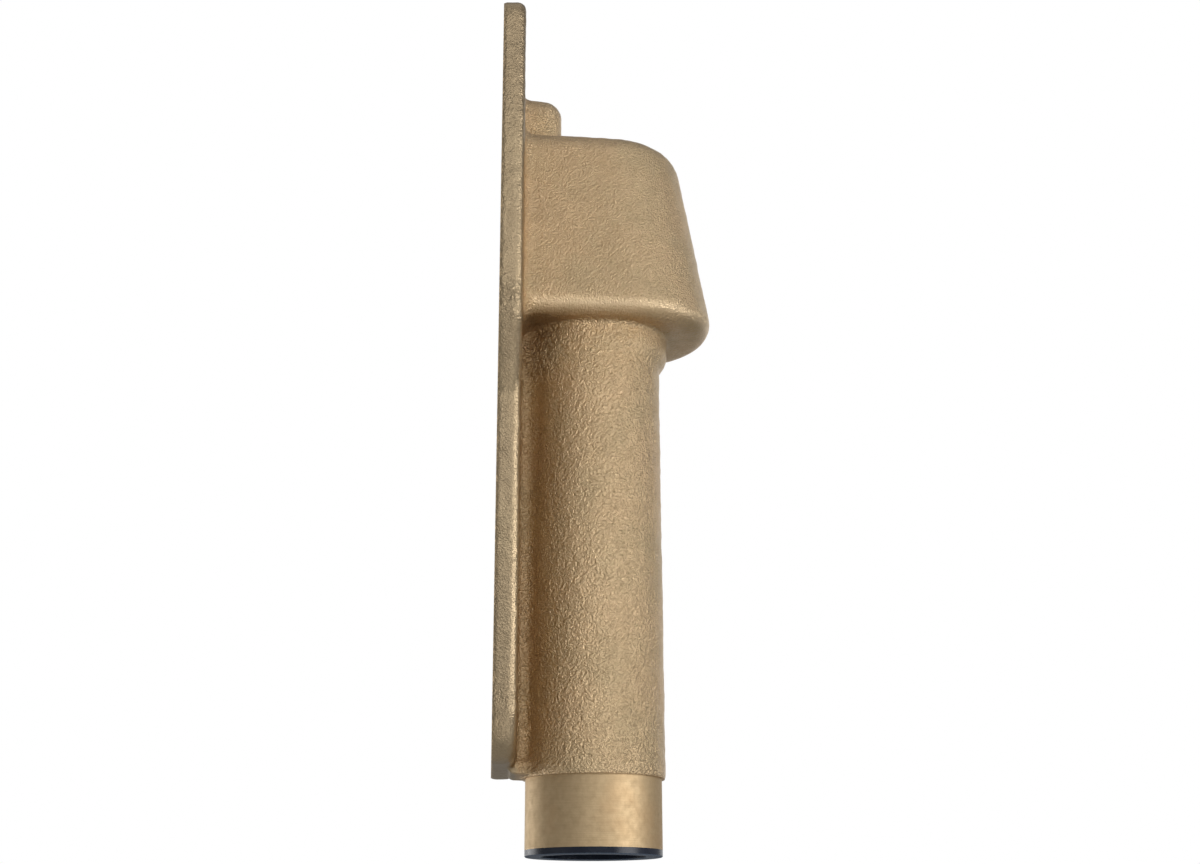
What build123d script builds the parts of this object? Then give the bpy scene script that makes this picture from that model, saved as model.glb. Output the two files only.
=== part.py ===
from build123d import *
import math
import os

# Rudder tube for a boat's transom, in millimetres.
# +Z is up along the rudder stock, +X points aft, away from the transom.
# The origin is on the stock axis, in the bottom face of the lower bush.

# Stock and its plain bushes
stock_dia = 40.0
bush_wall = 2.0
bush_length = 40.0
bush_flange_dia = 52.0
bush_flange_thick = 2.5
bush_edge = 0.3

# Seal ring round the stock, in a groove below the upper bush
seal_section = 3.5
seal_floor_clearance = 0.1
seal_side_clearance = 0.5
land_clearance = 0.5
land_length = 12.0
relief_clearance = 1.0

# Cast tube between the spigot and the hood
spigot_dia = 52.0
spigot_length = 26.2
tube_dia = 55.2
tube_draft = 0.2
tube_foot_edge = 0.6

# Mounting plate
plate_tube_gap = 2.4
plate_thick = 9.0
plate_height = 296.5
plate_foot_rise = 2.7
plate_front_edge = 3.0
plate_back_edge = 1.0
head_width = 130.0
head_corner = 8.0
foot_width = 94.0
foot_corner = 19.0
shoulder_drop = 135.0
shoulder_height = 23.0
shoulder_corner = 8.0
web_fillet = 3.0

# Hood over the tiller head
hood_floor_height = 205.6
hood_height = 83.2
hood_top_slope = 1.5
hood_half_width = 37.0
hood_reach = 49.7
hood_top_half_width = 30.0
hood_top_reach = 34.7
hood_wall = 5.5
hood_floor_thick = 7.0
hood_bottom_edge = 7.5
hood_top_edge = 11.0
hood_inner_edge = 5.0
hood_root_fillet = 5.0
collar_shift = 3.2
collar_height = 8.2
collar_blend = 5.4
boss_dia = 56.0
boss_height = 2.5

# Rounded lug on the plate, just above the hood
lug_width = 25.0
lug_centre_rise = 14.4
lug_depth = 16.5
lug_draft = 6.0
lug_edge = 7.5
lug_root_fillet = 2.5

# Holes for the fixing bolts
bolt_hole_dia = 9.0
bolt_pitch = 92.0
head_bolt_side_margin = 11.0
head_bolt_top_margin = 18.0
foot_bolt_side_margin = 9.0
foot_bolt_bottom_margin = 24.0

# Heights and radii that follow from the sizes above
bush_radius = stock_dia / 2 + bush_wall
tube_bottom = bush_flange_thick + spigot_length
plate_bottom = tube_bottom + plate_foot_rise
plate_top = plate_bottom + plate_height
plate_front = tube_dia / 2 + plate_tube_gap
plate_back = plate_front + plate_thick
shoulder_top = plate_top - shoulder_drop
hood_top = hood_floor_height + hood_height
cavity_floor = hood_floor_height + hood_floor_thick
upper_seat = cavity_floor + boss_height
upper_bush_bottom = upper_seat + bush_flange_thick - bush_length
land_bottom = upper_bush_bottom - land_length
seal_height = upper_bush_bottom - land_length / 2

# Depth that joined shapes run into one another, and the way a rod stands
overlap = 4.0
standing = (Align.CENTER, Align.CENTER, Align.MIN)


def rod(radius, bottom, top):
    """Round bar on the stock axis between two heights."""
    return Pos(0, 0, bottom) * Cylinder(radius, top - bottom, align=standing)


def facing_aft(x):
    """Upright plane that looks aft at a distance x from the stock axis."""
    return Plane(origin=(x, 0, 0), x_dir=(0, 1, 0), z_dir=(1, 0, 0))


def plate():
    """Flat plate with a wide head, sloped shoulders and a narrower foot."""
    head = head_width / 2
    foot = foot_width / 2
    one_side = [
        (foot, plate_bottom),
        (foot, shoulder_top - shoulder_height),
        (head, shoulder_top),
        (head, plate_top),
    ]
    other_side = [(-y, z) for y, z in reversed(one_side)]
    radii = [foot_corner, shoulder_corner, shoulder_corner, head_corner]
    path = FilletPolyline(*one_side, *other_side, radius=radii + radii[::-1], close=True)
    slab = extrude(facing_aft(-plate_back) * make_face(path), plate_thick)
    slab = fillet(slab.faces().sort_by(Axis.X)[-1].edges(), plate_front_edge)
    return fillet(slab.faces().sort_by(Axis.X)[0].edges(), plate_back_edge)


def web():
    """Web with hollow corners that joins the tube to the plate."""
    radius = tube_dia / 2
    reach = radius + web_fillet
    corner_x = web_fillet - plate_front
    corner_y = math.sqrt(reach**2 - corner_x**2)
    root_x = -plate_front - overlap
    section = Sketch()
    for side in (1, -1):
        centre = Vector(corner_x, side * corner_y)
        on_plate = Vector(-plate_front, side * corner_y)
        on_tube = centre * (radius / reach)
        halfway = (on_plate - centre).normalized() + (on_tube - centre).normalized()
        hollow = ThreePointArc(on_plate, centre + halfway.normalized() * web_fillet, on_tube)
        rest = Polyline(on_tube, (0, 0), (root_x, 0), (root_x, side * corner_y), on_plate)
        section += make_face([hollow, rest])
    return Pos(0, 0, plate_bottom) * extrude(section, cavity_floor - plate_bottom)


def tube():
    """Cast tube, a little thinner upwards, that swells aft just under the hood."""
    radius = tube_dia / 2
    inside_hood = hood_floor_height + overlap
    neck = radius - (inside_hood - tube_bottom) * math.tan(math.radians(tube_draft))
    profile = Polyline(
        (0, tube_bottom),
        (radius - tube_foot_edge, tube_bottom),
        (radius, tube_bottom + tube_foot_edge),
        (neck, inside_hood),
        (0, inside_hood),
        close=True,
    )
    stem = revolve(make_face(Plane.XZ * profile), Axis.Z)
    collar_bottom = hood_floor_height - collar_height
    in_line = Pos(0, 0, collar_bottom - collar_blend) * Circle(neck)
    swelling = loft([in_line, Pos(collar_shift, 0, collar_bottom) * Circle(neck)], ruled=True)
    collar = Pos(collar_shift, 0, 0) * rod(neck, collar_bottom, inside_hood)
    spigot = rod(spigot_dia / 2, bush_flange_thick, tube_bottom + overlap)
    return stem + swelling + collar + web() + spigot


def hood_section(height, inset):
    """Level cut through the hood: straight sides and a round aft end."""
    rise = (height - hood_floor_height) / hood_height
    half_width = hood_half_width + (hood_top_half_width - hood_half_width) * rise - inset
    reach = hood_reach + (hood_top_reach - hood_reach) * rise - inset
    back_x = -plate_back - 2 * hood_top_edge
    length = reach - half_width - back_x
    end = Pos(reach - half_width, 0) * Circle(half_width)
    sides = Pos(back_x + length / 2, 0) * Rectangle(length, 2 * half_width)
    return Pos(0, 0, height) * (end + sides)


def hood_block(bottom, top, inset, bottom_edge, top_edge):
    """Leaning block with a level bottom and a roof that falls gently aft."""
    sections = [hood_section(bottom, inset), hood_section(top + top_edge, inset)]
    roof = Pos(-plate_front, 0, top) * Rot(0, hood_top_slope, 0) * Plane.XY
    block = split(loft(sections, ruled=True), roof, keep=Keep.BOTTOM)
    block = fillet(block.faces().sort_by(Axis.Z)[-1].edges(), top_edge)
    return fillet(block.faces().sort_by(Axis.Z)[0].edges(), bottom_edge)


def hood_on_plate():
    """Hood joined to the plate by a hollow root all round."""
    hood = hood_block(hood_floor_height, hood_top, 0, hood_bottom_edge, hood_top_edge)
    hood = split(hood, Plane(origin=(-plate_back, 0, 0), z_dir=(1, 0, 0)))
    flange = plate()
    joined = flange + hood
    return fillet(new_edges(flange, hood, combined=joined), hood_root_fillet)


def add_lug(body):
    """Join the rounded lug to the plate and the top of the hood."""
    centre_height = hood_top + lug_centre_rise
    outline = Pos(0, centre_height) * Circle(lug_width / 2)
    outline += Pos(0, centre_height - lug_centre_rise) * Rectangle(lug_width, 2 * lug_centre_rise)
    back = facing_aft(-plate_front - overlap)
    lug = extrude(back * outline, lug_depth + overlap, taper=lug_draft)
    lug = fillet(lug.faces().sort_by(Axis.X)[-1].edges(), lug_edge)
    joined = body + lug
    return fillet(new_edges(body, lug, combined=joined), lug_root_fillet)


def bolt_places():
    """Points (y, z) of the four head bolts and the four foot bolts."""
    head_y = head_width / 2 - head_bolt_side_margin
    foot_y = foot_width / 2 - foot_bolt_side_margin
    head_top = plate_top - head_bolt_top_margin
    foot_low = plate_bottom + foot_bolt_bottom_margin
    places = []
    for side in (1, -1):
        for step in (0, bolt_pitch):
            places.append((side * head_y, head_top - step))
            places.append((side * foot_y, foot_low + step))
    return places


def tube_casting():
    """One bronze casting: plate, hood, tube, lug and machined spigot."""
    body = add_lug(hood_on_plate() + tube())
    ceiling = hood_top - hood_wall
    body -= hood_block(cavity_floor, ceiling, hood_wall, hood_inner_edge, hood_inner_edge)
    body += rod(boss_dia / 2, cavity_floor - overlap, upper_seat)
    body -= rod(bush_radius, bush_flange_thick, bush_length)
    body -= rod(bush_radius + relief_clearance, bush_length, land_bottom)
    body -= rod(stock_dia / 2 + land_clearance, land_bottom, upper_bush_bottom)
    body -= rod(bush_radius, upper_bush_bottom, upper_seat)
    groove_radius = stock_dia / 2 + seal_section + seal_floor_clearance
    groove_half = seal_section / 2 + seal_side_clearance
    body -= rod(groove_radius, seal_height - groove_half, seal_height + groove_half)
    drill = Cylinder(bolt_hole_dia / 2, plate_thick + 2 * overlap, rotation=(0, 90, 0))
    for y, z in bolt_places():
        body -= Pos(-plate_front - plate_thick / 2, y, z) * drill
    return body


def flanged_bush():
    """Plain bush with its flange at the bottom, at the origin."""
    inner = stock_dia / 2
    flange = bush_flange_dia / 2
    profile = Polyline(
        (inner + bush_edge, 0),
        (flange - bush_edge, 0),
        (flange, bush_edge),
        (flange, bush_flange_thick),
        (bush_radius, bush_flange_thick),
        (bush_radius, bush_length - bush_edge),
        (bush_radius - bush_edge, bush_length),
        (inner, bush_length),
        (inner, bush_edge),
        close=True,
    )
    return revolve(make_face(Plane.XZ * profile), Axis.Z)


def seal_ring():
    """Rubber ring of round section that closes on the stock."""
    middle = stock_dia / 2 + seal_section / 2
    return Pos(0, 0, seal_height) * Torus(middle, seal_section / 2)


lower_bush = flanged_bush()
upper_bush = Pos(0, 0, upper_seat + bush_flange_thick) * Rot(180, 0, 0) * flanged_bush()

nodes = {
    "tube_casting": tube_casting(),
    "lower_bush": lower_bush,
    "upper_bush": upper_bush,
    "seal_ring": seal_ring(),
}

os.makedirs("parts", exist_ok=True)
for name, shape in nodes.items():
    export_step(shape, f"parts/{name}.step")
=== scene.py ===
import math

import bmesh
import bpy
import numpy
from mathutils import Matrix, Vector, noise


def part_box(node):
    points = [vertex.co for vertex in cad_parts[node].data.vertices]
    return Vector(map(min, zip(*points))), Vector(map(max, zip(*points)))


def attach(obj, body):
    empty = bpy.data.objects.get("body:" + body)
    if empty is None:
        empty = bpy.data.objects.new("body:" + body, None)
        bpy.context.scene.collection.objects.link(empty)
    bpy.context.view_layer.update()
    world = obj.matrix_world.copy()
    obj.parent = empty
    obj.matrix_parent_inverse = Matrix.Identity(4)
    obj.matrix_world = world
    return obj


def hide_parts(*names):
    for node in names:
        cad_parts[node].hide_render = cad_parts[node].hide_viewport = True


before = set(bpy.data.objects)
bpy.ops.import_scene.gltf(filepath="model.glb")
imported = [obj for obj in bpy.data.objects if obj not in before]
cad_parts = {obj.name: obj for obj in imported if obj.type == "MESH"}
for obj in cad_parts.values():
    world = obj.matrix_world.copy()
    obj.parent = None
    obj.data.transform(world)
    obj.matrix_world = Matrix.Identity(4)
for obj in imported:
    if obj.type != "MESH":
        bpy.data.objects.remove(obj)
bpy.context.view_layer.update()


# Tube casting: one sand casting in bronze, plate, hood, tube, collar and lug in one.
# It is cast rough with its holes blind, then turned, bored, faced and drilled,
# so the blank is made first and the machined faces are cut out of it.
casting_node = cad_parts["tube_casting"]
grain_voxel = 0.00100
softening_share = 0.5
softening_rounds = 3
most_triangles = 188000
merge_gap = 1e-6


def lowest(node, axis):
    """Low side of a node's box in the frame, to the nearest micrometre."""
    return round(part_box(node)[0]["xyz".index(axis)], 6)


def highest(node, axis):
    """High side of a node's box in the frame, to the nearest micrometre."""
    return round(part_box(node)[1]["xyz".index(axis)], 6)


# Plate, and the bolt holes near its four edges.
plate_thick = 0.0090
plate_height = 0.2965
plate_back = lowest("tube_casting", "x")
plate_front = plate_back + plate_thick
plate_top = highest("tube_casting", "z")
plate_bottom = plate_top - plate_height
bolt_hole_radius = 0.0045
bolt_pitch = 0.0920
head_bolt_spacing = 0.1080
foot_bolt_spacing = 0.0760
head_bolt_top_margin = 0.0180
foot_bolt_bottom_margin = 0.0240
head_bolt_middle = plate_top - head_bolt_top_margin - bolt_pitch / 2
foot_bolt_middle = plate_bottom + foot_bolt_bottom_margin + bolt_pitch / 2
bolt_patterns = ((head_bolt_spacing, head_bolt_middle), (foot_bolt_spacing, foot_bolt_middle))

# Spigot, and the bore with its seats for the bushes and its groove for the seal.
spigot_radius = highest("lower_bush", "x")
spigot_bottom = lowest("tube_casting", "z")
spigot_length = 0.0262
spigot_top = spigot_bottom + spigot_length
bush_radius = 0.0220
bush_length = highest("lower_bush", "z")
bush_flange_thick = 0.0025
relief_clearance = 0.0010
relief_radius = bush_radius + relief_clearance
land_radius = 0.0205
land_length = 0.0120
upper_bush_bottom = lowest("upper_bush", "z")
land_bottom = upper_bush_bottom - land_length
seal_floor_clearance = 0.0001
groove_radius = highest("seal_ring", "x") + seal_floor_clearance
groove_height = (lowest("seal_ring", "z") + highest("seal_ring", "z")) / 2
groove_half = 0.00225
boss_radius = 0.0280
boss_top = highest("upper_bush", "z") - bush_flange_thick

# Metal that the casting has to spare on each machined face and on the plate's back, and
# the low and high corners of the block that joins the web's foot to the tube's lower edge.
machining_allowance = 0.0010
facing_allowance = 0.0020
web_foot_low = (-0.0320, -0.0132, 0.0292)
web_foot_high = (-0.0220, 0.0132, 0.0340)

# Sides of the round solids: enough for a smooth edge where the cut stays in sight.
blank_sides = 96
spigot_sides = 256
bore_sides = 192
boss_sides = 128
drill_sides = 64


def ring_solid(outline, sides):
    """Closed solid turned from an outline of (radius, height) points round the stock axis."""
    mesh = bpy.data.meshes.new("turned")
    points = []
    for step in range(sides):
        turn = 2 * math.pi * step / sides
        points += [(r * math.cos(turn), r * math.sin(turn), z) for r, z in outline]
    count = len(outline)
    faces = []
    for step in range(sides):
        here, after = step * count, (step + 1) % sides * count
        for i in range(count):
            j = (i + 1) % count
            faces.append((here + i, after + i, after + j, here + j))
    mesh.from_pydata(points, [], faces)
    shape = bmesh.new()
    shape.from_mesh(mesh)
    bmesh.ops.remove_doubles(shape, verts=shape.verts, dist=merge_gap)
    bmesh.ops.dissolve_degenerate(shape, edges=shape.edges, dist=merge_gap / 10)
    bmesh.ops.recalc_face_normals(shape, faces=shape.faces)
    shape.to_mesh(mesh)
    shape.free()
    return mesh


def in_scene(name, mesh):
    """New object at the origin that holds this mesh."""
    thing = bpy.data.objects.new(name, mesh)
    bpy.context.scene.collection.objects.link(thing)
    return thing


def finished_mesh(thing):
    """Plain mesh of an object with its modifiers worked in."""
    depsgraph = bpy.context.evaluated_depsgraph_get()
    depsgraph.update()
    return bpy.data.meshes.new_from_object(thing.evaluated_get(depsgraph))


def bolt_rod_tree():
    """Geometry Nodes tree for four rods on a rectangle, and its inputs by their names."""
    tree = bpy.data.node_groups.new("bolt rods", "GeometryNodeTree")
    sizes = {}
    for size in ("Spacing", "Pitch", "Height", "Radius", "Length", "Plate middle"):
        sizes[size] = tree.interface.new_socket(
            size, in_out="INPUT", socket_type="NodeSocketFloat"
        ).identifier
    tree.interface.new_socket("Rods", in_out="OUTPUT", socket_type="NodeSocketGeometry")
    nodes, links = tree.nodes, tree.links
    given = nodes.new("NodeGroupInput")
    grid = nodes.new("GeometryNodeMeshGrid")
    grid.inputs["Vertices X"].default_value = 2
    grid.inputs["Vertices Y"].default_value = 2
    links.new(given.outputs["Pitch"], grid.inputs["Size X"])
    links.new(given.outputs["Spacing"], grid.inputs["Size Y"])
    rod = nodes.new("GeometryNodeMeshCylinder")
    rod.inputs["Vertices"].default_value = drill_sides
    links.new(given.outputs["Radius"], rod.inputs["Radius"])
    links.new(given.outputs["Length"], rod.inputs["Depth"])
    on_grid = nodes.new("GeometryNodeInstanceOnPoints")
    links.new(grid.outputs["Mesh"], on_grid.inputs["Points"])
    links.new(rod.outputs["Mesh"], on_grid.inputs["Instance"])
    place = nodes.new("ShaderNodeCombineXYZ")
    links.new(given.outputs["Plate middle"], place.inputs["X"])
    links.new(given.outputs["Height"], place.inputs["Z"])
    upright = nodes.new("GeometryNodeTransform")
    upright.inputs["Rotation"].default_value = (0, math.pi / 2, 0)
    links.new(on_grid.outputs["Instances"], upright.inputs["Geometry"])
    links.new(place.outputs["Vector"], upright.inputs["Translation"])
    real = nodes.new("GeometryNodeRealizeInstances")
    links.new(upright.outputs["Geometry"], real.inputs["Geometry"])
    bare = nodes.new("GeometryNodeSetMaterial")
    links.new(real.outputs["Geometry"], bare.inputs["Geometry"])
    result = nodes.new("NodeGroupOutput")
    links.new(bare.outputs["Geometry"], result.inputs["Rods"])
    return tree, sizes


rod_tree, rod_inputs = bolt_rod_tree()


def bolt_rods(radius, back, front):
    """Rods on every bolt hole of the plate, one rectangle at its head and one at its foot."""
    both = bmesh.new()
    middle = (back + front) / 2
    for spacing, height in bolt_patterns:
        holder = in_scene("bolt rods", bpy.data.meshes.new("bolt rods"))
        setter = holder.modifiers.new("set out", "NODES")
        setter.node_group = rod_tree
        values = (spacing, bolt_pitch, height, radius, front - back, middle)
        for size, value in zip(rod_inputs, values):
            setter[rod_inputs[size]] = value
        both.from_mesh(finished_mesh(holder))
        bpy.data.objects.remove(holder)
    mesh = bpy.data.meshes.new("bolt rods")
    both.to_mesh(mesh)
    both.free()
    return mesh


def cast_blank():
    """The casting as it leaves the sand: bores and holes still solid, then remeshed."""
    mesh = casting_node.data.copy()
    shape = bmesh.new()
    shape.from_mesh(mesh)
    bmesh.ops.remove_doubles(shape, verts=shape.verts, dist=merge_gap)
    cast_back = plate_back - facing_allowance
    for corner in shape.verts:
        if corner.co.x < plate_back + 10 * merge_gap:
            corner.co.x = cast_back
    extra = machining_allowance
    core = [(0, spigot_bottom + extra), (bush_radius + 2 * extra, spigot_bottom + extra)]
    core += [(bush_radius + 2 * extra, boss_top), (0, boss_top)]
    foot = [(0, spigot_bottom - extra), (spigot_radius + extra, spigot_bottom - extra)]
    foot += [(spigot_radius + extra, spigot_top + extra), (0, spigot_top + extra)]
    seat = [(0, boss_top - 2 * extra), (boss_radius, boss_top - 2 * extra)]
    seat += [(boss_radius, boss_top + 2 * extra), (0, boss_top + 2 * extra)]
    for outline in (core, foot, seat):
        shape.from_mesh(ring_solid(outline, blank_sides))
    shape.from_mesh(bolt_rods(bolt_hole_radius + extra, cast_back, plate_front))
    low, high = Vector(web_foot_low), Vector(web_foot_high)
    size = Matrix.Diagonal((*(high - low), 1))
    bmesh.ops.create_cube(shape, size=1, matrix=Matrix.Translation((low + high) / 2) @ size)
    shape.to_mesh(mesh)
    shape.free()
    blank = in_scene("cast_blank", mesh)
    sand = blank.modifiers.new("sand", "REMESH")
    sand.mode = "VOXEL"
    sand.voxel_size = grain_voxel
    soft = blank.modifiers.new("soften", "SMOOTH")
    soft.factor = softening_share
    soft.iterations = softening_rounds
    rough = finished_mesh(blank)
    bpy.data.objects.remove(blank)
    return rough


# Lumps of the sand: size across and height, all over, and deeper in a few rough spots.
lump_size = 0.0036
lump_height = 0.00016
lump_fall_off, lump_step, lump_octaves = 1.0, 2.0, 2
wave_size = 0.022
wave_height = 0.00020
spot_lump_size = 0.0026
spot_lump_height = 0.00100
spot_swell = 0.15
dressing_depth = 0.7
wear = 0.00014
# Each rough spot's centre, how far it reaches, and how strong it is.
rough_spots = (
    (Vector((-0.0225, -0.0180, 0.1950)), 0.0150, 1.0),
    (Vector((-0.0225, 0.0180, 0.1900)), 0.0100, 0.8),
    (Vector((-0.0350, -0.0630, 0.1980)), 0.0130, 0.30),
    (Vector((-0.0350, 0.0630, 0.1900)), 0.0110, 0.25),
    (Vector((-0.0355, -0.0460, 0.0530)), 0.0090, 0.30),
    (Vector((-0.0355, 0.0450, 0.0600)), 0.0090, 0.25),
)
# The hood's lower edge was dressed smooth after casting.
dressed_bottom = 0.2040
dressed_top = 0.2125
dressed_blend = 0.0030
# The plate's skin fades out within this distance of its front face, and the tube's skin
# reaches this far to either side of the stock.
flange_blend = 0.0010
tube_half_width = 0.0310
# Painted shade darkens the corners between tube and plate, from this distance on.
corner_start = -0.0090
corner_depth = 0.0140
# Edges and hollows are told by how far the skin stands from its own surroundings.
surroundings_rounds = 14
sharpest_bulge = 0.0010
# The hood's underside, which gets painted shade, counts as such from this downward slope on, in full
# a little further.
under_start = 0.45
under_range = 0.4


def surroundings(mesh, places):
    """Where each point of the skin would lie with its surroundings drawn smooth."""
    count = len(places)
    ends = numpy.empty(len(mesh.edges) * 2, dtype=int)
    mesh.edges.foreach_get("vertices", ends)
    ends = ends.reshape(-1, 2)
    joins = numpy.bincount(ends.ravel(), minlength=count)[:, None]
    spread = places.copy()
    for _ in range(surroundings_rounds):
        total = numpy.empty_like(spread)
        for axis in range(3):
            total[:, axis] = numpy.bincount(
                ends[:, 0], spread[ends[:, 1], axis], count
            ) + numpy.bincount(ends[:, 1], spread[ends[:, 0], axis], count)
        spread = total / joins
    return spread


def spot_strength(point):
    """How strong the rough spots are at a point: 0 away from all of them."""
    strength_here = 0.0
    for centre, reach, strength in rough_spots:
        gap = (point - centre).length / reach
        if gap < 1:
            strength_here += (1 - gap * gap) ** 2 * strength
    return strength_here


def roughened(mesh):
    """Move the skin in and out as sand does, and note its hollows and its edges."""
    count = len(mesh.vertices)
    places = numpy.empty(count * 3)
    mesh.vertices.foreach_get("co", places)
    places = places.reshape(-1, 3)
    normals = numpy.array([v.vector[:] for v in mesh.vertex_normals])
    bulge = ((places - surroundings(mesh, places)) * normals).sum(axis=1)
    x, y, z = places.T
    dressed = numpy.minimum(z - dressed_bottom, dressed_top - z)
    dressed = numpy.minimum(dressed, x - plate_front - dressed_blend)
    dressed = numpy.clip(dressed / dressed_blend, 0, 1)
    flange = numpy.clip((plate_front + flange_blend - x) / flange_blend, 0, 1)
    below_hood = z < dressed_bottom + dressed_blend
    on_tube = below_hood * (abs(y) < tube_half_width) * (1 - flange)
    # The corner mask darkens the tube towards the plate: painted shade.
    corner = on_tube * numpy.clip((corner_start - x) / corner_depth, 0, 1)
    spots = numpy.zeros(count)
    push = numpy.empty(count)
    for i, place in enumerate(places):
        point = Vector(place)
        lump = noise.fractal(point / lump_size, lump_fall_off, lump_step, lump_octaves)
        wave = noise.noise(point / wave_size) * wave_height
        spot = spot_strength(point)
        if spot:
            spots[i] = min(1, spot)
            spot *= (noise.noise(point / spot_lump_size) + spot_swell) * spot_lump_height
        raised = lump * lump_height + spot
        push[i] = raised * (1 - dressing_depth * dressed[i]) + wave - wear
    places += normals * push[:, None]
    mesh.vertices.foreach_set("co", places.ravel())
    # The downward mask darkens the hood's underside: painted shade.
    downward = numpy.clip((-normals[:, 2] - under_start) / under_range, 0, 1)
    # The hollow mark darkens the bronze where the skin is concave: painted shade.
    marks = {
        "edge": numpy.clip(bulge / sharpest_bulge, 0, 1),
        "painted_shade_hollow": numpy.clip(-bulge / sharpest_bulge, 0, 1),
        "corner": corner,
        "dressed": dressed,
        "flange": flange,
        "spots": spots,
        "tube": on_tube,
        "painted_shade_under": downward * (z > dressed_bottom),
    }
    for name, values in marks.items():
        mark = mesh.attributes.new(name, "FLOAT", "POINT")
        mark.data.foreach_set("value", values)
    mesh.update()
    return mesh


# Depth, width and height of the cut that faces the plate's back, well past its edges.
facing_cut = (0.010, 0.2, 0.4)


def machining_tools():
    """Solids that the lathe, the facing cutter and the drills take away."""
    past = 4 * machining_allowance
    outside = 1.5 * spigot_radius
    turn = [(spigot_radius, spigot_bottom), (spigot_radius, spigot_top)]
    turn += [(outside, spigot_top), (outside, spigot_bottom - past)]
    turn += [(0, spigot_bottom - past), (0, spigot_bottom)]
    bore = [(0, spigot_bottom - past), (bush_radius, spigot_bottom - past)]
    bore += [(bush_radius, bush_length), (relief_radius, bush_length)]
    bore += [(relief_radius, land_bottom), (land_radius, land_bottom)]
    bore += [(land_radius, groove_height - groove_half)]
    bore += [(groove_radius, groove_height - groove_half)]
    bore += [(groove_radius, groove_height + groove_half)]
    bore += [(land_radius, groove_height + groove_half), (land_radius, upper_bush_bottom)]
    bore += [(bush_radius, upper_bush_bottom), (bush_radius, boss_top + past)]
    bore += [(0, boss_top + past)]
    face_radius = boss_radius + machining_allowance
    face = [(0, boss_top), (face_radius, boss_top)]
    face += [(face_radius, boss_top + past), (0, boss_top + past)]
    slab = bpy.data.meshes.new("facing cut")
    shape = bmesh.new()
    depth, width, height = facing_cut
    middle = Vector((plate_back - depth / 2, 0, (plate_bottom + plate_top) / 2))
    size = Matrix.Diagonal((depth, width, height, 1))
    bmesh.ops.create_cube(shape, size=1, matrix=Matrix.Translation(middle) @ size)
    shape.to_mesh(slab)
    shape.free()
    drills = bolt_rods(bolt_hole_radius, plate_back - depth, plate_front + depth)
    rounds = ((turn, spigot_sides), (bore, bore_sides), (face, boss_sides))
    return [ring_solid(outline, sides) for outline, sides in rounds] + [slab, drills]


def machined(mesh):
    """Thin the mesh where it is flat, then cut every machined face out of it."""
    body = in_scene("tube_casting_cast", mesh)
    triangles = sum(len(face.vertices) - 2 for face in mesh.polygons)
    thin = body.modifiers.new("thin", "DECIMATE")
    thin.ratio = min(1.0, most_triangles / triangles)
    tools = [in_scene("tool", tool) for tool in machining_tools()]
    for tool in tools:
        cut = body.modifiers.new("cut", "BOOLEAN")
        cut.operation = "DIFFERENCE"
        cut.solver = "MANIFOLD"
        cut.object = tool
    done = finished_mesh(body)
    # The thinned skin may stand proud of the frame's box by a hair, so it is drawn back to it.
    corners = numpy.empty(len(done.vertices) * 3)
    done.vertices.foreach_get("co", corners)
    corners = numpy.clip(corners.reshape(-1, 3), *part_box("tube_casting"))
    done.vertices.foreach_set("co", corners.ravel())
    body.modifiers.clear()
    body.data = done
    for tool in tools:
        bpy.data.objects.remove(tool)
    return body


casting = machined(roughened(cast_blank()))


class Field:
    """A value over a surface: sums and products of fields add Math nodes to the tree."""

    def __init__(self, socket):
        self.socket = socket

    def node(self, kind, settings, sockets, output=0):
        """A node of this kind, set first and then fed, and one of its outputs."""
        tree = self.socket.id_data
        new = tree.nodes.new(kind)
        for name, value in settings.items():
            setattr(new, name, value)
        for name, value in sockets.items():
            if isinstance(value, Field):
                tree.links.new(value.socket, new.inputs[name])
            else:
                new.inputs[name].default_value = value
        return Field(new.outputs[output])

    def maths(self, operation, first, second):
        return self.node("ShaderNodeMath", {"operation": operation}, {0: first, 1: second})

    def __add__(self, other):
        return self.maths("ADD", self, other)

    def __radd__(self, other):
        return self.maths("ADD", other, self)

    def __sub__(self, other):
        return self.maths("SUBTRACT", self, other)

    def __rsub__(self, other):
        return self.maths("SUBTRACT", other, self)

    def __mul__(self, other):
        return self.maths("MULTIPLY", self, other)

    def __rmul__(self, other):
        return self.maths("MULTIPLY", other, self)


def new_material(name):
    """Empty material: returns it, its shader and the field of object coordinates."""
    material = bpy.data.materials.new(name)
    material.use_nodes = True
    tree = material.node_tree
    shader = tree.nodes["Principled BSDF"]
    where = tree.nodes.new("ShaderNodeTexCoord")
    return material, shader, Field(where.outputs["Object"])


def feed(shader, name, field):
    """Link a field to one of the shader's sockets."""
    shader.id_data.links.new(field.socket, shader.inputs[name])


def mixed(field, share, first, second):
    """Colour between two colours or colour fields, by a share."""
    # A Mix node for colours takes them at sockets 6 and 7 and gives its result at output 2.
    settings = {"data_type": "RGBA", "clamp_factor": True}
    return field.node("ShaderNodeMix", settings, {0: share, 6: first, 7: second}, 2)


def noise_over(where, scale, detail, roughness=0.5, distortion=0.0):
    """Noise over the surface, from 0 to 1. The scale says how many marks go to a metre."""
    sockets = {"Vector": where, "Scale": scale, "Detail": detail}
    sockets.update({"Roughness": roughness, "Distortion": distortion})
    return where.node("ShaderNodeTexNoise", {}, sockets)


def swing(field, reach):
    """A field of noise about its middle, stretched to this reach."""
    return (field - 0.5) * reach


def with_marks(start, marks, shares):
    """A starting value and, for each mark named in the shares, its share of that mark."""
    total = start
    for name, share in shares.items():
        total = total + marks[name] * share
    return total


def raise_surface(shader, height, distance, strength=1.0):
    """Shade the surface as if a field of heights, times a distance, stood on it."""
    sockets = {"Strength": strength, "Distance": distance, "Height": height}
    feed(shader, "Normal", height.node("ShaderNodeBump", {}, sockets))
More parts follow.
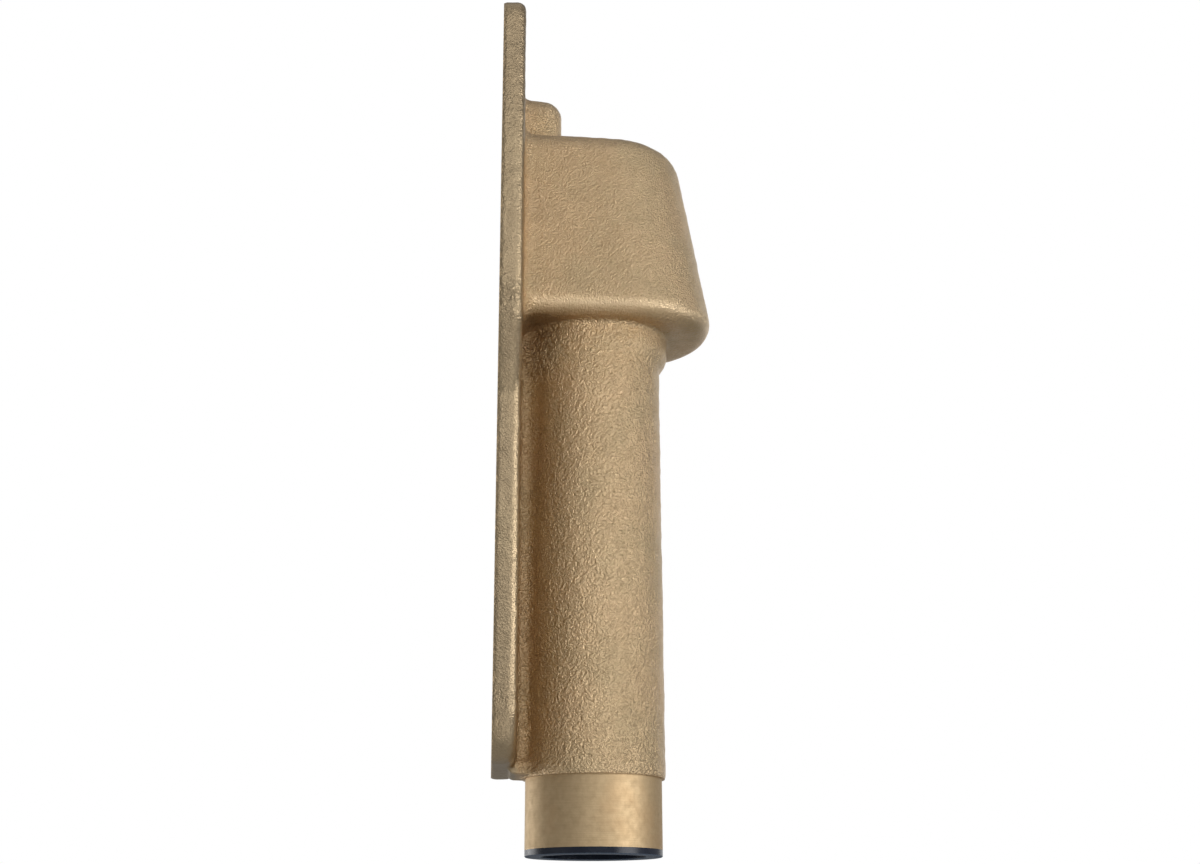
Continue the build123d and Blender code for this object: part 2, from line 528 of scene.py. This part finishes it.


# What the marks on the cast skin add to the grain's height, the painted shade in the hollows, the
# tube's corners and under the hood, the metal rubbed pale (held off the underside as painted shade)
# and the lumps. The grain is highest on the hood, least on the plate and the dressed edge.
hood_grain = 0.92
grain_shares = {"tube": -0.15, "dressed": -0.5, "flange": -0.65, "spots": 0.5}
# Painted shade: darker in the hollows, in the tube's corners by the plate and under the hood.
painted_shade_shares = {"painted_shade_hollow": 0.05, "corner": 0.29, "painted_shade_under": 0.16}
# The underside's negative share keeps the hood's underside from going pale: painted shade.
rubbed_and_painted_shade_shares = {"edge": 0.5, "dressed": 0.5, "painted_shade_under": -1.0}
plate_edge_share = -0.32
lumps_everywhere = 0.1
lumps_shares = {"spots": 1.6, "tube": 0.45}
# The grain is brown below one level and pale above another, by this contrast.
pit_level = 0.50
top_level = 0.52
grain_contrast = 1.1


def cast_bronze():
    """Sand-cast bronze: a dull golden tan with the sand's grain left in it."""
    material, shader, where = new_material("cast bronze")
    patch = noise_over(where, scale=38.0, detail=3.0)
    cloud = noise_over(where, scale=170.0, detail=3.0)
    grain = noise_over(where, scale=1350.0, detail=2.5, roughness=0.6)
    fine = noise_over(where, scale=2300.0, detail=2.0)
    lumps = noise_over(where, scale=640.0, detail=1.0, distortion=0.8)
    mark = {}
    for name in ("edge", "painted_shade_hollow", "corner", "dressed", "flange", "spots", "tube", "painted_shade_under"):
        mark[name] = where.node("ShaderNodeAttribute", {"attribute_name": name}, {}, "Fac")
    raw = with_marks(hood_grain, mark, grain_shares)
    olive = (0.575, 0.430, 0.255, 1)
    warm = (0.680, 0.490, 0.290, 1)
    pit_brown_and_painted_shade = (0.210, 0.125, 0.052, 1)
    dull = (0.260, 0.205, 0.132, 1)
    pale = (0.800, 0.620, 0.400, 1)
    spread = where.node(
        "ShaderNodeMapRange", {}, {"Value": patch, "From Min": 0.38, "From Max": 0.62}
    )
    base = mixed(where, spread, olive, warm)
    base = mixed(where, mark["flange"] * 0.75 + swing(patch, 0.6), base, dull)
    # Brown stays in the grain's pits and random cloudy patches, painted shade darkens the hollows,
    # the tube's corners and the hood's underside, and the tops and edges are rubbed pale except
    # under the hood, where painted shade keeps them dark.
    pits = (pit_level - grain) * grain_contrast * raw
    # Painted shade in the hollows, the corners and under the hood, on top of random brown patches.
    dirt_and_painted_shade = with_marks(swing(cloud, 0.35), mark, painted_shade_shares)
    base = mixed(where, pits + dirt_and_painted_shade, base, pit_brown_and_painted_shade)
    tops = (grain - top_level) * grain_contrast * raw
    # Edges and the dressed band go pale as wear; the hood's underside is held dark as painted shade.
    rubbed_pale_and_painted_shade = with_marks(mark["edge"] * mark["flange"] * plate_edge_share, mark, rubbed_and_painted_shade_shares)
    base = mixed(where, tops + rubbed_pale_and_painted_shade, base, pale)
    feed(shader, "Base Color", base)
    shader.inputs["Metallic"].default_value = 1.0
    feed(shader, "Roughness", 0.34 + swing(cloud, 0.2))
    # Both heights are worked out about their middle, so that no step shows where a mark ends.
    height = (grain * 0.75 + fine * 0.25 - 0.5) * raw
    height = height + swing(lumps, with_marks(lumps_everywhere, mark, lumps_shares))
    raise_surface(shader, height, distance=0.00125)
    return material


def turned_bronze():
    """Turned bronze: brighter and smoother, with faint rings left by the tool."""
    material, shader, where = new_material("turned bronze")
    squeezed = where.node(
        "ShaderNodeMapping", {"vector_type": "POINT"}, {"Vector": where, "Scale": (60, 60, 3800)}
    )
    rings = noise_over(squeezed, scale=1.0, detail=2.0)
    cloud = noise_over(where, scale=380.0, detail=5.0)
    smear = noise_over(where, scale=45.0, detail=3.0)
    gold = (0.580, 0.435, 0.260, 1)
    dull = (0.470, 0.348, 0.202, 1)
    stain = (0.580, 0.370, 0.190, 1)
    base = mixed(where, swing(cloud, 1.8) + swing(rings, 0.9) + 0.30, gold, dull)
    feed(shader, "Base Color", mixed(where, (smear - 0.52) * 2.0, base, stain))
    shader.inputs["Metallic"].default_value = 1.0
    feed(shader, "Roughness", 0.57 + swing(cloud, 0.20))
    raise_surface(shader, rings + cloud * 2.5, distance=0.00005)
    return material


casting.data.materials.clear()
casting.data.materials.append(cast_bronze())
casting.data.materials.append(turned_bronze())


def is_machined(place):
    """Whether this point of the skin lies on a turned, faced or drilled surface."""
    x, y, z = place
    radius = math.hypot(x, y)
    near = 0.00008
    if x < plate_back + near / 4:
        return True
    if radius < spigot_radius + near and z < spigot_top + near:
        return True
    if radius < groove_radius + near and z < boss_top + near:
        return True
    if radius < boss_radius + near and abs(z - boss_top) < near:
        return True
    for spacing, middle in bolt_patterns:
        across = abs(abs(y) - spacing / 2)
        along = abs(abs(z - middle) - bolt_pitch / 2)
        if math.hypot(across, along) < bolt_hole_radius + near:
            return True
    return False


for face in casting.data.polygons:
    face.material_index = 1 if is_machined(face.center) else 0
crease_angle = math.radians(42)
casting.data.shade_smooth()
casting.data.set_sharp_from_angle(angle=crease_angle)
casting.name = "rudder_tube_casting"
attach(casting, "root")
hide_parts("tube_casting")


# Bushes: two flanged plain bushes moulded in black plastic, pressed into the bore
# from both ends. Their shape is the frame's own; the lower bush's end face carries a painted
# highlight.
def black_plastic():
    """Smooth black plastic with a faint cloudy sheen, and a painted highlight on the lower bush's
    end face.
    """
    material, shader, where = new_material("black plastic")
    cloud = noise_over(where, scale=120.0, detail=3.0)
    grain = noise_over(where, scale=2600.0, detail=2.0)
    black = (0.004, 0.006, 0.012, 1)
    slate = (0.014, 0.019, 0.034, 1)
    painted_highlight = (0.050, 0.070, 0.105, 1)
    mouth_depth = 0.0003
    height = where.node("ShaderNodeSeparateXYZ", {}, {"Vector": where}, "Z")
    mouth = height.maths("LESS_THAN", height, mouth_depth)
    base = mixed(where, cloud, black, slate)
    # Below the mouth depth, the lower bush's end face is lightened pale blue: a painted highlight.
    feed(shader, "Base Color", mixed(where, mouth, base, painted_highlight))
    shader.inputs["Specular IOR Level"].default_value = 0.35
    feed(shader, "Roughness", 0.27 + swing(cloud, 0.2) + mouth * 0.25)
    raise_surface(shader, grain, distance=0.00002, strength=0.6)
    return material


bush_plastic = black_plastic()
for name in ("lower_bush", "upper_bush"):
    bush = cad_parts[name]
    bush.data.materials.clear()
    bush.data.materials.append(bush_plastic)


# Seal ring: a moulded rubber ring of round section, pressed into the groove below the
# upper bush, where it closes on the stock. Its shape is the frame's own.
def seal_rubber():
    """Dull black rubber with a trace of grease."""
    material, shader, where = new_material("seal rubber")
    smear = noise_over(where, scale=260.0, detail=3.0)
    black = (0.012, 0.012, 0.012, 1)
    greasy = (0.030, 0.030, 0.028, 1)
    feed(shader, "Base Color", mixed(where, smear, black, greasy))
    feed(shader, "Roughness", 0.45 + smear * 0.3)
    return material


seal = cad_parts["seal_ring"]
seal.data.materials.clear()
seal.data.materials.append(seal_rubber())


# Floor and backdrop: a plain pale floor well below the hung part, and a plain wall
# behind it that shows white to the camera and in reflections.
floor_height = -0.62
floor_half = 9.0
backdrop_distance = 2.2
backdrop_half = 1.9
backdrop_bottom = 0.02
backdrop_top = 2.10
pale_grey = (0.80, 0.80, 0.79, 1)
matt = 0.8


def sheet_of(name, corners, material):
    """Flat four-cornered sheet that belongs to the studio, not to the object."""
    mesh = bpy.data.meshes.new(name)
    mesh.from_pydata(corners, [], [(0, 1, 2, 3)])
    mesh.materials.append(material)
    thing = in_scene(name, mesh)
    return thing


def pale_floor():
    """Matt pale grey paint."""
    material, shader, _ = new_material("pale floor")
    shader.inputs["Base Color"].default_value = pale_grey
    shader.inputs["Roughness"].default_value = matt
    return material


def white_wall():
    """White to the camera, in reflections and through glass; plain pale paint to the rest."""
    material, shader, _ = new_material("white wall")
    tree = material.node_tree
    shader.inputs["Base Color"].default_value = pale_grey
    shader.inputs["Roughness"].default_value = matt
    path = tree.nodes.new("ShaderNodeLightPath")
    seen = Field(path.outputs["Is Camera Ray"]) + Field(path.outputs["Is Glossy Ray"])
    seen = seen + Field(path.outputs["Is Transmission Ray"])
    white = tree.nodes.new("ShaderNodeEmission")
    white.inputs["Color"].default_value = (1, 1, 1, 1)
    white.inputs["Strength"].default_value = 1.0
    blend = tree.nodes.new("ShaderNodeMixShader")
    tree.links.new(seen.node("ShaderNodeClamp", {}, {"Value": seen}).socket, blend.inputs[0])
    tree.links.new(shader.outputs[0], blend.inputs[1])
    tree.links.new(white.outputs[0], blend.inputs[2])
    tree.links.new(blend.outputs[0], tree.nodes["Material Output"].inputs["Surface"])
    return material


floor_sides = ((-1, -1), (1, -1), (1, 1), (-1, 1))
floor_corners = [(x * floor_half, y * floor_half, floor_height) for x, y in floor_sides]
sheet_of("floor", floor_corners, pale_floor())
wall_sides = ((-1, backdrop_bottom), (1, backdrop_bottom), (1, backdrop_top), (-1, backdrop_top))
wall_corners = [(x * backdrop_half, backdrop_distance, z) for x, z in wall_sides]
sheet_of("backdrop", wall_corners, white_wall())


# Light: a bright soft box to the right of the camera, softer ones above and below its
# middle, a rim light far round to the left, weak fills, and an even grey room.
lamp_aim = Vector((0, 0, 0.165))
room_grey = 0.27


def soft_box(name, azimuth, elevation, distance, size, radiance):
    """Square area lamp that faces the part from a direction seen from the front."""
    turn, rise = math.radians(azimuth), math.radians(elevation)
    way = Vector((math.sin(turn) * math.cos(rise), -math.cos(turn) * math.cos(rise), math.sin(rise)))
    lamp = bpy.data.lights.new(name, "AREA")
    lamp.shape = "SQUARE"
    lamp.size = size
    lamp.energy = radiance * math.pi * size * size
    thing = bpy.data.objects.new(name, lamp)
    thing.location = lamp_aim + way * distance
    thing.rotation_mode = "QUATERNION"
    thing.rotation_quaternion = (-way).to_track_quat("-Z", "Y")
    bpy.context.scene.collection.objects.link(thing)


soft_box("key box", azimuth=55, elevation=5, distance=1.10, size=0.62, radiance=5.20)
soft_box("front box", azimuth=3, elevation=22, distance=1.10, size=0.70, radiance=1.70)
soft_box("low front box", azimuth=5, elevation=-42, distance=1.05, size=0.50, radiance=2.30)
soft_box("low box", azimuth=62, elevation=-62, distance=1.00, size=0.50, radiance=0.40)
soft_box("right rim box", azimuth=114, elevation=14, distance=1.10, size=0.70, radiance=0.15)
soft_box("left box", azimuth=-62, elevation=5, distance=1.10, size=0.70, radiance=0.22)
soft_box("left rim box", azimuth=-128, elevation=-12, distance=1.10, size=0.60, radiance=2.30)
soft_box("top box", azimuth=0, elevation=80, distance=1.10, size=0.80, radiance=0.45)

world = bpy.data.worlds.new("room")
world.use_nodes = True
room = world.node_tree.nodes["Background"]
room.inputs["Color"].default_value = (room_grey, room_grey, room_grey, 1)
room.inputs["Strength"].default_value = 1.0
bpy.context.scene.world = world
bpy.context.scene.view_settings.view_transform = "Standard"


# Camera: fitted to the photograph's outline, in line with the plate's back face
# and a little below the part, looking up.
camera_place = Vector((-0.03896, -0.64350, -0.03400))
camera_heading = math.radians(3.71)
camera_rise = math.radians(17.34)
camera_roll = math.radians(-0.13)
lens_length = 50
sensor_width = 36
nearest_view = 0.01
ahead = Vector((math.sin(camera_heading), math.cos(camera_heading), 0))
looking = ahead * math.cos(camera_rise) + Vector((0, 0, math.sin(camera_rise)))
above = Vector((0, 0, math.cos(camera_rise))) - ahead * math.sin(camera_rise)
right = Vector((math.cos(camera_heading), -math.sin(camera_heading), 0))
tilted_right = right * math.cos(camera_roll) + above * math.sin(camera_roll)
tilted_up = above * math.cos(camera_roll) - right * math.sin(camera_roll)
camera = bpy.data.objects.new("camera", bpy.data.cameras.new("camera"))
camera.data.lens = lens_length
camera.data.sensor_width = sensor_width
camera.data.clip_start = nearest_view
camera.matrix_world = Matrix.Translation(camera_place) @ Matrix(
    (tilted_right, tilted_up, -looking)
).transposed().to_4x4()
bpy.context.scene.collection.objects.link(camera)
bpy.context.scene.camera = camera
